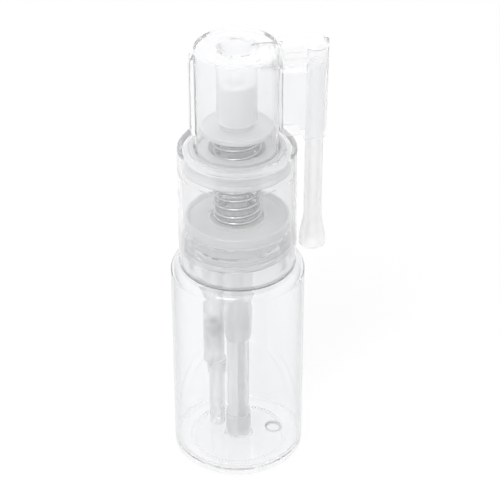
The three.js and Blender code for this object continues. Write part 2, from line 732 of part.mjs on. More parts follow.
const powderPuffBottle = new THREE.Group();
for (const [name, make, finish] of pieces) {
  const geometry = geometryOf(make()).translate(-boxMiddle, 0, 0);
  const mesh = new THREE.Mesh(geometry, new THREE.MeshStandardMaterial(finishes[finish]));
  mesh.name = name;
  powderPuffBottle.add(mesh);
}

export default powderPuffBottle;
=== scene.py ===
import math

import bmesh
import bpy
from mathutils import Matrix, Vector


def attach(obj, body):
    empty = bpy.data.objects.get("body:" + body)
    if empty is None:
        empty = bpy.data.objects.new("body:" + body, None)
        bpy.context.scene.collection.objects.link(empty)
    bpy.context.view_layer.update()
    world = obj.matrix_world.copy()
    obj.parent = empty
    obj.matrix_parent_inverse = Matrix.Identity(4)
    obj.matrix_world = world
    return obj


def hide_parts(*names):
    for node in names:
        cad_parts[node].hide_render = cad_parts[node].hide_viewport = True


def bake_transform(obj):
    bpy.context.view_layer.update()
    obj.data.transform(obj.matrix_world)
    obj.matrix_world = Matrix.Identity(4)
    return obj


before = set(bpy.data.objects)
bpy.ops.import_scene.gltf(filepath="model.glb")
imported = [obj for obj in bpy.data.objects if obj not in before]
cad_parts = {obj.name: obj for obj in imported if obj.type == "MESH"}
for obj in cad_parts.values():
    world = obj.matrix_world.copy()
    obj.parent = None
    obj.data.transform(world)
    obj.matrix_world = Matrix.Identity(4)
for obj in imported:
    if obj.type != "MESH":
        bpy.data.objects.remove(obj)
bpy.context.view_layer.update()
print("frame loaded:", len(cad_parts), "nodes")

# every outline below is in millimetres, drawn round the bottle's axis
millimetre = 0.001
axisX = -2.7  # where that axis stands in the frame
toFrame = Matrix.Scale(millimetre, 4) @ Matrix.Translation((axisX, 0, 0))
axisPlace = (axisX * millimetre, 0, 0)
swivelHeight = 116.2  # of the axis along X that the elbow turns on

onAxis = 1e-6  # a point nearer the axis than this counts as on it
flatCorner = math.radians(168)  # a corner flatter than this is left as it is
sideShare = 0.45  # how much of a side one round may take


def newObject(name, mesh):
    thing = bpy.data.objects.new(name, mesh)
    bpy.context.scene.collection.objects.link(thing)
    return thing


def solid(name, corners, faces):
    mesh = bpy.data.meshes.new(name)
    mesh.from_pydata(corners, [], faces)
    shell = bmesh.new()
    shell.from_mesh(mesh)
    bmesh.ops.recalc_face_normals(shell, faces=shell.faces)
    shell.to_mesh(mesh)
    shell.free()
    return newObject(name, mesh)


# the zero in each point tells rounded to leave it as it is
def arc(x, y, radius, start, end, steps=6):
    turns = [math.radians(start + (end - start) * step / steps) for step in range(steps + 1)]
    return [(x + radius * math.cos(t), y + radius * math.sin(t), 0) for t in turns]


# rounds the corners of a closed outline; a third number in a point is that corner's own radius
def rounded(outline, radius, steps=5):
    points = []
    for i, point in enumerate(outline):
        here = Vector(point[:2])
        back = Vector(outline[i - 1][:2]) - here
        ahead = Vector(outline[(i + 1) % len(outline)][:2]) - here
        own = point[2] if len(point) > 2 else radius
        angle = back.angle(ahead)
        if here.x < onAxis or own <= 0 or angle > flatCorner:
            points.append((here.x, here.y))
            continue
        reach = min(own / math.tan(angle / 2), sideShare * back.length, sideShare * ahead.length)
        own = reach * math.tan(angle / 2)
        back, ahead = back.normalized(), ahead.normalized()
        middle = here + (back + ahead).normalized() * own / math.sin(angle / 2)
        first = here + back * reach - middle
        last = here + ahead * reach - middle
        start = math.atan2(first.y, first.x)
        sweep = (math.atan2(last.y, last.x) - start + math.pi) % (2 * math.pi) - math.pi
        for step in range(steps + 1):
            turn = start + sweep * step / steps
            points.append((middle.x + own * math.cos(turn), middle.y + own * math.sin(turn)))
    return points


def polar(distance, degrees):
    turn = math.radians(degrees)
    return distance * math.cos(turn), distance * math.sin(turn)


# turns an outline of (radius, height) points round an upright axis
def lathe(outline, segments=160, centre=(0, 0)):
    corners, rings, faces = [], [], []
    for radius, height in outline:
        count = 1 if radius < onAxis else segments
        rings.append(range(len(corners), len(corners) + count))
        for step in range(count):
            turn = 2 * math.pi * step / count
            x, y = centre[0] + radius * math.cos(turn), centre[1] + radius * math.sin(turn)
            corners.append((x, y, height))
    for i, ring in enumerate(rings):
        after = rings[(i + 1) % len(rings)]
        if len(ring) == len(after) == 1:
            continue
        for step in range(segments):
            near, far = step, (step + 1) % segments
            quad = [ring[near % len(ring)], ring[far % len(ring)],
                    after[far % len(after)], after[near % len(after)]]
            faces.append(list(dict.fromkeys(quad)))
    return solid("lathe", corners, faces)


def turned(outline, segments=160, centre=(0, 0), rounding=0.12):
    return lathe(rounded(outline, rounding), segments, centre)


def ringOutline(inner, outer, foot, top):
    return [(inner, foot), (outer, foot), (outer, top), (inner, top)]


def disc(radius, foot, top, segments=96, centre=(0, 0)):
    return lathe(ringOutline(0, radius, foot, top), segments, centre)


# a turned piece whose outline is (radius, x), laid along the axis that the elbow turns on
def alongX(thing):
    lift = Matrix.Translation((0, 0, swivelHeight))
    thing.data.transform(lift @ Matrix.Rotation(math.pi / 2, 4, "Y"))
    return thing


def bar(radius, start, end, segments=72):
    return alongX(disc(radius, start, end, segments))


# a flat outline of (a, b) points made thick; axis says which way it is thick
def prism(outline, start, end, axis="Z"):
    count = len(outline)
    if axis == "Z":
        corners = [(a, b, h) for h in (start, end) for a, b, *_ in outline]
    else:
        corners = [(a, h, b) for h in (start, end) for a, b, *_ in outline]
    faces = [list(range(count)), list(range(count, 2 * count))]
    faces += [[i, (i + 1) % count, (i + 1) % count + count, i + count] for i in range(count)]
    return solid("prism", corners, faces)


def block(x0, x1, y0, y1, z0, z1):
    return prism([(x0, y0), (x1, y0), (x1, y1), (x0, y1)], z0, z1)


# turns a piece's live modifiers into plain mesh
def settle(thing):
    depsgraph = bpy.context.evaluated_depsgraph_get()
    mesh = bpy.data.meshes.new_from_object(thing.evaluated_get(depsgraph))
    old = thing.data
    thing.modifiers.clear()
    thing.data = mesh
    bpy.data.meshes.remove(old)
    return thing


def combine(thing, operation, *tools):
    for tool in tools:
        step = thing.modifiers.new(operation, "BOOLEAN")
        step.operation, step.object, step.solver = operation, tool, "MANIFOLD"
    settle(thing)
    for tool in tools:
        bpy.data.objects.remove(tool)
    return thing


def bevel(thing, width, angle=35, segments=4):
    step = thing.modifiers.new("bevel", "BEVEL")
    step.width, step.segments = width, segments
    step.limit_method, step.angle_limit = "ANGLE", math.radians(angle)
    return settle(thing)


# smooth faces, but a hard edge where they meet at more than the angle
def shade(thing, sharpAngle):
    shell = bmesh.new()
    shell.from_mesh(thing.data)
    bmesh.ops.dissolve_degenerate(shell, edges=shell.edges, dist=1e-5)
    for face in shell.faces:
        face.smooth = True
    for edge in shell.edges:
        edge.smooth = edge.calc_face_angle(0) < math.radians(sharpAngle)
    shell.to_mesh(thing.data)
    shell.free()


# the body is one body's name, or the spring's dict of the two bodies and places it sits between, which is
# not read
def finishPiece(thing, name, cadNode, body, material, sharpAngle=26):
    shade(thing, sharpAngle)
    thing.name = thing.data.name = name
    thing.data.transform(toFrame)
    thing.data.materials.clear()
    thing.data.materials.append(material)
    if isinstance(body, dict):
        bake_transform(thing)
    else:
        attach(thing, body)
    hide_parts(cadNode)
    print(name, "made,", len(thing.data.polygons), "faces")


# a node tree with named inputs and outputs
def namedTree(name, kind, inputs, outputs):
    tree = bpy.data.node_groups.new(name, kind)
    for label, sort, value in inputs:
        socket = tree.interface.new_socket(label, in_out="INPUT", socket_type="NodeSocket" + sort)
        if value is not None:
            socket.default_value = value
    for label, sort in outputs:
        tree.interface.new_socket(label, in_out="OUTPUT", socket_type="NodeSocket" + sort)
    return tree, tree.nodes.new("NodeGroupInput").outputs, tree.nodes.new("NodeGroupOutput").inputs


def newTree(name, inputs):
    return namedTree(name, "GeometryNodeTree", [("Geometry", "Geometry", None), *inputs],
                     [("Geometry", "Geometry")])


# links a socket to another, or sets its value
def feed(tree, socket, value):
    if isinstance(value, bpy.types.NodeSocket):
        tree.links.new(value, socket)
    else:
        socket.default_value = value


def node(tree, kind, settings=None, **inputs):
    made = tree.nodes.new(kind)
    for key, value in (settings or {}).items():
        setattr(made, key, value)
    for key, value in inputs.items():
        feed(tree, made.inputs[key.replace("_", " ")], value)
    return made.outputs


# a node whose sockets are fed in their order
def inOrder(tree, kind, settings, *values):
    made = node(tree, kind, settings)
    for socket, value in zip(made[0].node.inputs, values):
        feed(tree, socket, value)
    return made


def maths(tree, operation, a, b=0.0, c=0.0):
    return inOrder(tree, "ShaderNodeMath", {"operation": operation}, a, b, c)[0]


def times(tree, a, b):
    return maths(tree, "MULTIPLY", a, b)


def vectorMaths(tree, operation, *values):
    return inOrder(tree, "ShaderNodeVectorMath", {"operation": operation}, *values)


# where a value stands between start and end, given as a value between low and high
def share(tree, value, start, end, low, high):
    return inOrder(tree, "ShaderNodeMapRange", None, value, start, end, low, high)[0]


def endTree(tree, geometry, material, result):
    real = node(tree, "GeometryNodeRealizeInstances", Geometry=geometry)[0]
    dressed = node(tree, "GeometryNodeSetMaterial", Geometry=real, Material=material)[0]
    tree.links.new(dressed, result[0])


def grow(tree, values):
    thing = newObject(tree.name, bpy.data.meshes.new(tree.name))
    step = thing.modifiers.new(tree.name, "NODES")
    step.node_group = tree
    for item in tree.interface.items_tree:
        if item.in_out == "INPUT" and item.name in values:
            step[item.identifier] = values[item.name]
    return settle(thing)


# a line bent into a helix; rise is the height field along it
def helixCurve(tree, radius, turns, steps, rise, along):
    line = node(tree, "GeometryNodeCurvePrimitiveLine")[0]
    count = times(tree, turns, steps)
    points = node(tree, "GeometryNodeResampleCurve", Curve=line, Count=count)[0]
    turn = times(tree, times(tree, along, turns), 2 * math.pi)
    x = times(tree, maths(tree, "COSINE", turn), radius)
    y = times(tree, maths(tree, "SINE", turn), radius)
    place = node(tree, "ShaderNodeCombineXYZ", X=x, Y=y, Z=rise)[0]
    bent = node(tree, "GeometryNodeSetPosition", Geometry=points, Position=place)[0]
    return node(tree, "GeometryNodeSetCurveNormal", {"mode": "Z_UP"}, Curve=bent)[0]


# a screw ridge that grows from a wall and fades out at both ends
def buildScrewRidge():
    tree, given, result = newTree("screwRidge", [
        ("Radius", "Float", 12.0), ("Reach", "Float", 0.85), ("Sunk", "Float", 0.3),
        ("Pitch", "Float", 3.6), ("Turns", "Float", 2.0), ("Foot", "Float", 60.0),
        ("Root", "Float", 1.7), ("Crest", "Float", 0.7), ("Steps", "Int", 96),
        ("Fade", "Float", 8.0), ("Material", "Material", None)])
    along = node(tree, "GeometryNodeSplineParameter")["Factor"]
    climb = times(tree, times(tree, given["Pitch"], given["Turns"]), along)
    rise = maths(tree, "ADD", given["Foot"], climb)
    curve = helixCurve(tree, given["Radius"], given["Turns"], given["Steps"], rise, along)
    half = times(tree, given["Root"], 0.5)
    tip = times(tree, given["Crest"], 0.5)
    inside = times(tree, given["Sunk"], -1.0)
    ends = []
    for reach, side, sign in ((inside, half, -1.0), (given["Reach"], tip, -1.0),
                              (given["Reach"], tip, 1.0), (inside, half, 1.0)):
        level = times(tree, side, sign)
        ends.append(node(tree, "ShaderNodeCombineXYZ", X=reach, Y=level)[0])
    section = node(tree, "GeometryNodeCurvePrimitiveQuadrilateral", {"mode": "POINTS"},
                   Point_1=ends[0], Point_2=ends[1], Point_3=ends[2], Point_4=ends[3])[0]
    soft = node(tree, "GeometryNodeFilletCurve", {"mode": "POLY"}, Curve=section, Count=3,
                Radius=0.16)[0]
    fromEnd = maths(tree, "MINIMUM", along, maths(tree, "SUBTRACT", 1.0, along))
    fade = times(tree, times(tree, fromEnd, given["Turns"]), given["Fade"])
    scale = share(tree, fade, 0.0, 1.0, 0.12, 1.0)
    ridge = node(tree, "GeometryNodeCurveToMesh", Curve=curve, Profile_Curve=soft, Scale=scale,
                 Fill_Caps=True)[0]
    endTree(tree, ridge, given["Material"], result)
    return tree


# a coil spring with closed turns at both ends
def buildCoil():
    tree, given, result = newTree("coil", [
        ("Radius", "Float", 5.8), ("Wire", "Float", 0.4), ("Foot", "Float", 72.0),
        ("Top", "Float", 96.0), ("Turns", "Float", 11.0), ("End Share", "Float", 0.1),
        ("End Rise", "Float", 1.1), ("Steps", "Int", 48), ("Sides", "Int", 14),
        ("Material", "Material", None)])
    along = node(tree, "GeometryNodeSplineParameter")["Factor"]
    late = maths(tree, "SUBTRACT", 1.0, given["End Share"])
    free = maths(tree, "SUBTRACT", maths(tree, "SUBTRACT", given["Top"], given["Foot"]),
                 times(tree, given["End Rise"], 2.0))
    first = share(tree, along, 0.0, given["End Share"], 0.0, given["End Rise"])
    middle = share(tree, along, given["End Share"], late, 0.0, free)
    last = share(tree, along, late, 1.0, 0.0, given["End Rise"])
    rise = maths(tree, "ADD", maths(tree, "ADD", given["Foot"], first), maths(tree, "ADD", middle, last))
    curve = helixCurve(tree, given["Radius"], given["Turns"], given["Steps"], rise, along)
    section = node(tree, "GeometryNodeCurvePrimitiveCircle", Resolution=given["Sides"],
                   Radius=given["Wire"])[0]
    wire = node(tree, "GeometryNodeCurveToMesh", Curve=curve, Profile_Curve=section, Fill_Caps=True)[0]
    endTree(tree, wire, given["Material"], result)
    return tree


# small ribs that stand in a ring and point at the axis
def buildRibRing():
    tree, given, result = newTree("ribRing", [
        ("Radius", "Float", 13.0), ("Count", "Int", 80), ("Size", "Vector", (1.2, 0.4, 0.4)),
        ("Height", "Float", 0.3), ("Material", "Material", None)])
    ring = node(tree, "GeometryNodeMeshCircle", Vertices=given["Count"], Radius=given["Radius"])[0]
    rib = node(tree, "GeometryNodeMeshCube", Size=given["Size"])[0]
    outward = node(tree, "GeometryNodeInputPosition")[0]
    facing = node(tree, "FunctionNodeAlignRotationToVector", {"axis": "X"}, Vector=outward)[0]
    ribs = node(tree, "GeometryNodeInstanceOnPoints", Points=ring, Instance=rib, Rotation=facing)[0]
    lift = node(tree, "ShaderNodeCombineXYZ", Z=given["Height"])[0]
    placed = node(tree, "GeometryNodeTransform", Geometry=ribs, Translation=lift)[0]
    endTree(tree, placed, given["Material"], result)
    return tree


screwRidge = buildScrewRidge()
coil = buildCoil()
ribRing = buildRibRing()
print("geometry trees built")


# slow waves that a mould and the flow of the plastic leave in a surface
def buildMouldFlow():
    group, given, result = namedTree(
        "mouldFlow", "ShaderNodeTree",
        [("Vector", "Vector", None), ("Scale", "Float", 60.0), ("Stretch", "Float", 0.25)],
        [("Height", "Float"), ("Tone", "Float")])
    squeeze = node(group, "ShaderNodeCombineXYZ", X=1.0, Y=1.0, Z=given["Stretch"])[0]
    flow = vectorMaths(group, "MULTIPLY", given["Vector"], squeeze)[0]
    slow = node(group, "ShaderNodeTexNoise", Vector=flow, Scale=given["Scale"], Detail=2.0)[0]
    fine = node(group, "ShaderNodeTexNoise", Vector=given["Vector"],
                Scale=times(group, given["Scale"], 9.0), Detail=3.0)[0]
    both = maths(group, "ADD", slow, times(group, fine, 0.12))
    group.links.new(both, result["Height"])
    group.links.new(share(group, slow, 0.3, 0.7, 0.0, 1.0), result["Tone"])
    return group


# hair scratches and settled specks from handling
def buildHandling():
    group, given, result = namedTree(
        "handling", "ShaderNodeTree",
        [("Vector", "Vector", None), ("Scratches", "Float", 0.5), ("Specks", "Float", 0.5)],
        [("Marks", "Float"), ("Dust", "Float")])
    lines = []
    for turn, scale in ((0.6, 900.0), (-1.1, 1300.0)):
        swung = node(group, "ShaderNodeVectorRotate", Vector=given["Vector"], Angle=turn)[0]
        wave = node(group, "ShaderNodeTexNoise", Vector=swung, Scale=scale, Detail=1.0,
                    Distortion=0.4)[0]
        fromLine = maths(group, "ABSOLUTE", maths(group, "SUBTRACT", wave, 0.5))
        lines.append(share(group, fromLine, 0.0, 0.012, 1.0, 0.0))
    where = node(group, "ShaderNodeTexNoise", Vector=given["Vector"], Scale=120.0, Detail=2.0)[0]
    some = share(group, where, 0.55, 0.7, 0.0, 1.0)
    marks = times(group, maths(group, "MAXIMUM", lines[0], lines[1]), some)
    group.links.new(times(group, marks, given["Scratches"]), result["Marks"])
    spots = node(group, "ShaderNodeTexVoronoi", Vector=given["Vector"], Scale=700.0)
    speck = share(group, spots["Distance"], 0.05, 0.11, 1.0, 0.0)
    sparse = maths(group, "GREATER_THAN", spots["Color"], 0.62)
    dust = times(group, times(group, speck, sparse), given["Specks"])
    group.links.new(dust, result["Dust"])
    return group


mouldFlow = buildMouldFlow()
handling = buildHandling()


def startMaterial(name):
    material = bpy.data.materials.new(name)
    material.use_nodes = True
    tree = material.node_tree
    shader = tree.nodes["Principled BSDF"]
    where = node(tree, "ShaderNodeTexCoord")["Object"]
    return material, tree, shader, where


def useGroup(tree, group, **inputs):
    return node(tree, "ShaderNodeGroup", {"node_tree": group}, **inputs)


def mixColour(tree, factor, a, b):
    made = tree.nodes.new("ShaderNodeMix")
    made.data_type = "RGBA"
    for socket, value in zip((made.inputs[0], made.inputs[6], made.inputs[7]), (factor, a, b)):
        feed(tree, socket, value)
    return made.outputs[2]


# what every plastic here has: the waves of its mould and the marks of handling
def startPlastic(name, look, waveDepth):
    material, tree, shader, where = startMaterial(name)
    flow = useGroup(tree, mouldFlow, Vector=where, Scale=look["flowScale"], Stretch=look["flowStretch"])
    worn = useGroup(tree, handling, Vector=where, Scratches=look["scratches"], Specks=look["specks"])
    bump = node(tree, "ShaderNodeBump", Strength=look["waves"], Distance=waveDepth,
                Height=flow["Height"])[0]
    feed(tree, shader.inputs["Normal"], bump)
    return material, tree, shader, where, flow["Tone"], worn


passColour = (0.97, 0.972, 0.975, 1.0)  # what a shadow or diffuse ray keeps in a clear wall
dustColour = (0.7, 0.7, 0.69, 1.0)


# clear plastic: bright through its faces, with painted edge shade where the sight line runs along the wall
def clearPlastic(name, look, band=None, ring=None):
    material, tree, shader, where, flow, worn = startPlastic(name, look, 0.0004)
    facing = node(tree, "ShaderNodeLayerWeight", Blend=0.5)["Facing"]
    # rim is painted shade: the colour turns darker where a face is seen edge-on
    rim = share(tree, facing, look["edgeShadeStart"], 1.0, 0.0, 1.0)
    rim = maths(tree, "POWER", rim, look["edgeShadePower"])
    face = mixColour(tree, flow, look["face"], look["faceLow"])
    # painted shade: a dark line round the edge of the dimple in the bottle's base
    if ring:
        away = vectorMaths(tree, "DISTANCE", where, ring["centre"])["Value"]
        near = maths(tree, "COMPARE", away, ring["radius"], ring["width"])
        face = mixColour(tree, near, face, ring["tone"])
    if band:
        height = node(tree, "ShaderNodeSeparateXYZ", Vector=where)["Z"]
        inBand = share(tree, height, band["top"] - 0.001, band["top"], 1.0, 0.0)
        face = mixColour(tree, inBand, face, band["tone"])
        # painted contact shadow: a dark line along the collar's foot, where it meets the bottle's shoulder
        onFootShadow = share(tree, height, band["footShadowTop"] - 0.0002, band["footShadowTop"], 1.0, 0.0)
        face = mixColour(tree, onFootShadow, face, band["line"])
    feed(tree, shader.inputs["Base Color"], mixColour(tree, rim, face, look["rim"]))
    marks = maths(tree, "ADD", times(tree, worn["Marks"], 0.18), times(tree, worn["Dust"], 0.3))
    if band:
        marks = maths(tree, "ADD", marks, times(tree, inBand, band["haze"]))
    if look["coreRadius"]:
        across = vectorMaths(tree, "MULTIPLY_ADD", where, (1, 1, 0), (-axisX * millimetre, 0, 0))[0]
        span = vectorMaths(tree, "LENGTH", across)["Value"]
        core = share(tree, span, look["coreRadius"], look["coreRadius"] + 0.0003, look["coreHaze"], 0.0)
        marks = maths(tree, "ADD", marks, core)
    feed(tree, shader.inputs["Roughness"], maths(tree, "ADD", marks, look["roughness"]))
    shader.inputs["Transmission Weight"].default_value = look["clearness"]
    shader.inputs["IOR"].default_value = look["ior"]
    path = node(tree, "ShaderNodeLightPath")
    passing = maths(tree, "MAXIMUM", path["Is Shadow Ray"], path["Is Diffuse Ray"])
    through = node(tree, "ShaderNodeBsdfTransparent", Color=passColour)[0]
    both = inOrder(tree, "ShaderNodeMixShader", None, passing, shader.outputs[0], through)[0]
    tree.links.new(both, tree.nodes["Material Output"].inputs["Surface"])
    return material


# natural white plastic that lets a blurred light through
def milkyPlastic(name, look, stripe=None, thin=None):
    material, tree, shader, where, flow, worn = startPlastic(name, look, 0.0002)
    tone = mixColour(tree, flow, look["colour"], look["colourLow"])
    # painted shade: a grey stripe down the flute in the tube's side
    if stripe:
        place = node(tree, "ShaderNodeVectorRotate", {"rotation_type": "Z_AXIS"}, Vector=where,
                     Center=axisPlace, Angle=-stripe["angle"])[0]
        part = node(tree, "ShaderNodeSeparateXYZ", Vector=place)
        aside = maths(tree, "ABSOLUTE", part["Y"])
        side = share(tree, aside, stripe["half"], stripe["half"] + 0.0001, 1.0, 0.0)
        outer = share(tree, part["X"], -0.0012, -0.0008, 0.0, 1.0)
        low = share(tree, part["Z"], stripe["top"] - 0.0001, stripe["top"], 1.0, 0.0)
        onFluteShade = times(tree, times(tree, side, outer), low)
        tone = mixColour(tree, onFluteShade, tone, stripe["tone"])
    feed(tree, shader.inputs["Base Color"], mixColour(tree, worn["Dust"], tone, dustColour))
    marks = times(tree, worn["Marks"], 0.25)
    feed(tree, shader.inputs["Roughness"], maths(tree, "ADD", marks, look["roughness"]))
    shader.inputs["Transmission Weight"].default_value = look["transmission"]
    shader.inputs["Subsurface Weight"].default_value = look["subsurface"]
    shader.inputs["Subsurface Radius"].default_value = (1.0, 1.0, 1.0)
    shader.inputs["Subsurface Scale"].default_value = 0.0012
    shader.inputs["IOR"].default_value = 1.49
    facing = node(tree, "ShaderNodeLayerWeight", Blend=0.5)["Facing"]
    cover = share(tree, facing, 0.1, 0.9, look["bodyCover"], look["edgeCover"])
    if stripe:
        cover = maths(tree, "MAXIMUM", cover, times(tree, onFluteShade, stripe["cover"]))
    if thin:
        height = node(tree, "ShaderNodeSeparateXYZ", Vector=where)["Z"]
        above = share(tree, height, thin["top"], thin["top"] + 0.002, thin["share"], 1.0)
        cover = times(tree, cover, above)
    feed(tree, shader.inputs["Alpha"], cover)
    return material


def steelWire(name, look):
    material, tree, shader, where = startMaterial(name)
    drawn = node(tree, "ShaderNodeTexNoise", Vector=where, Scale=look["grainScale"], Detail=3.0)[0]
    tone = share(tree, drawn, 0.35, 0.65, 0.0, 1.0)
    wire = mixColour(tree, tone, look["colour"], look["colourLow"])
    outward = node(tree, "ShaderNodeTexCoord")["Normal"]
    facingUp = node(tree, "ShaderNodeSeparateXYZ", Vector=outward)["Z"]
    # painted shade: the wire turns dark where its surface faces down
    under = share(tree, facingUp, look["underStart"], look["underEnd"], 1.0, 0.0)
    feed(tree, shader.inputs["Base Color"], mixColour(tree, under, wire, look["under"]))
    grain = share(tree, drawn, 0.3, 0.7, look["roughness"], look["roughness"] + 0.14)
    feed(tree, shader.inputs["Roughness"], grain)
    shader.inputs["Metallic"].default_value = 1.0
    bump = node(tree, "ShaderNodeBump", Strength=0.15, Distance=0.00005, Height=drawn)[0]
    feed(tree, shader.inputs["Normal"], bump)
    return material


# places and sizes in the looks are in metres, as Object coordinates are
# rim is the colour of painted shade on edge-on faces of clear plastic
clearLook = {
    "face": (0.972, 0.976, 0.979, 1.0), "faceLow": (0.95, 0.955, 0.96, 1.0),
    "rim": (0.3, 0.32, 0.34, 1.0), "edgeShadeStart": 0.35, "edgeShadePower": 2.6,
    "roughness": 0.01, "ior": 1.5, "waves": 0.035, "flowScale": 90.0, "flowStretch": 0.3,
    "scratches": 0.5, "specks": 0.35, "coreRadius": 0.0, "coreHaze": 0.0, "clearness": 0.985,
}
mouldedLook = dict(clearLook, face=(0.992, 0.994, 0.996, 1.0), faceLow=(0.972, 0.976, 0.98, 1.0),
                   ior=1.17, waves=0.03, flowScale=140.0, flowStretch=0.8, roughness=0.085,
                   rim=(0.97, 0.972, 0.975, 1.0), clearness=0.84)
# a painted shade line round the edge of the dimple in the bottle's base
dimpleEdgeShade = {"centre": (0.0072, 0.00078, 0.0012), "radius": 0.00212, "width": 0.00024,
              "tone": (0.5, 0.51, 0.52, 1.0)}
# the thread zone is greyer and hazier; line is a painted contact shadow along the collar's foot
threadBand = {"top": 0.0712, "tone": (0.92, 0.925, 0.93, 1.0), "haze": 0.1,
              "footShadowTop": 0.0592, "line": (0.5, 0.51, 0.52, 1.0)}
collarLook = dict(mouldedLook, roughness=0.03)
buttonLook = dict(mouldedLook, coreRadius=0.0051, coreHaze=0.38)
milkyLook = {
    "colour": (0.82, 0.826, 0.832, 1.0), "colourLow": (0.765, 0.773, 0.781, 1.0), "roughness": 0.36,
    "transmission": 0.2, "subsurface": 0.4, "waves": 0.12, "flowScale": 120.0, "flowStretch": 0.5,
    "scratches": 0.6, "specks": 0.2, "bodyCover": 0.5, "edgeCover": 0.85,
}
nozzleLook = dict(milkyLook, bodyCover=0.18, edgeCover=0.5, colour=(0.97, 0.975, 0.98, 1.0),
                  colourLow=(0.95, 0.955, 0.96, 1.0), roughness=0.3)
tubeLook = dict(milkyLook, colour=(0.93, 0.935, 0.94, 1.0), colourLow=(0.89, 0.897, 0.905, 1.0),
                bodyCover=0.15, edgeCover=0.62)
dipLook = dict(tubeLook, bodyCover=0.24, edgeCover=0.6)
# the flute's dark look is painted shade: a grey stripe down the dip tube
fluteShadeStripe = {"angle": math.radians(-79.0), "half": 0.001, "top": 0.0338,
               "tone": (0.72, 0.725, 0.73, 1.0), "cover": 0.5}
thinSocket = {"top": 0.0605, "share": 0.42}
sealLook = dict(milkyLook, colour=(0.86, 0.86, 0.845, 1.0), colourLow=(0.8, 0.8, 0.785, 1.0),
                transmission=0.0, bodyCover=1.0, edgeCover=1.0, roughness=0.62, waves=0.3,
                flowScale=400.0)
valveLook = dict(sealLook, colour=(0.74, 0.74, 0.73, 1.0), colourLow=(0.68, 0.68, 0.67, 1.0))
# under is the colour of painted shade on the downward faces of the wire
steelLook = {"colour": (0.72, 0.73, 0.74, 1.0), "colourLow": (0.52, 0.53, 0.54, 1.0),
             "under": (0.12, 0.12, 0.125, 1.0), "underStart": -0.35, "underEnd": 0.55,
             "roughness": 0.16, "grainScale": 1800.0}

clearBottle = clearPlastic("clearBottlePlastic", clearLook, None, dimpleEdgeShade)
clearMoulding = clearPlastic("clearMouldedPlastic", mouldedLook)
clearCollar = clearPlastic("clearCollarPlastic", collarLook, threadBand)
clearButton = clearPlastic("clearButtonPlastic", buttonLook)
frostedWhite = milkyPlastic("naturalWhitePlastic", milkyLook)
tubeWhite = milkyPlastic("naturalTubePlastic", tubeLook)
baseWhite = milkyPlastic("naturalBasePlastic", milkyLook, None, thinSocket)
dipWhite = milkyPlastic("naturalDipTubePlastic", dipLook, fluteShadeStripe)
nozzleWhite = milkyPlastic("nozzleTubePlastic", nozzleLook)
softSeal = milkyPlastic("softSealRubber", sealLook)
valveRubber = milkyPlastic("valveRubber", valveLook)
springSteel = steelWire("drawnSteelWire", steelLook)
print("materials built")


# the thread that the bottle and the collar share
threadSizes = {"pitch": 3.6, "root": 1.7, "crest": 0.7, "foot": 59.92, "sunk": 0.3, "fade": 8.0,
               "steps": 96}

bottleSizes = {
    "radius": 17.4, "footRadius": 17.4, "height": 58.2, "wall": 0.9, "base": 1.2, "corner": 0.7,
    "shoulder": 2.4, "neckRadius": 12.3, "neckBore": 11.1, "neckTop": 69.2, "threadTurns": 2.1,
    "threadReach": 0.85, "ringInner": 13.4, "innerCorner": 2.4, "pushUp": 0.7, "recess": 0.4,
    "gateRadius": 3.9, "gateHeight": 0.4, "dimpleRadius": 2.15, "dimpleDepth": 0.6, "dimpleDistance": 9.9,
    "dimpleAngle": 4.5, "knurls": 84, "knurlRadius": 12.4, "knurlSize": (1.1, 0.3, 0.42),
    "knurlHeight": 0.29, "segments": 240,
}


def ridge(radius, reach, foot, turns):
    return grow(screwRidge, {
        "Radius": float(radius), "Reach": float(reach), "Sunk": math.copysign(threadSizes["sunk"], reach),
        "Pitch": threadSizes["pitch"], "Turns": float(turns), "Foot": float(foot),
        "Root": threadSizes["root"], "Crest": threadSizes["crest"],
        "Steps": threadSizes["steps"], "Fade": threadSizes["fade"], "Material": clearMoulding})


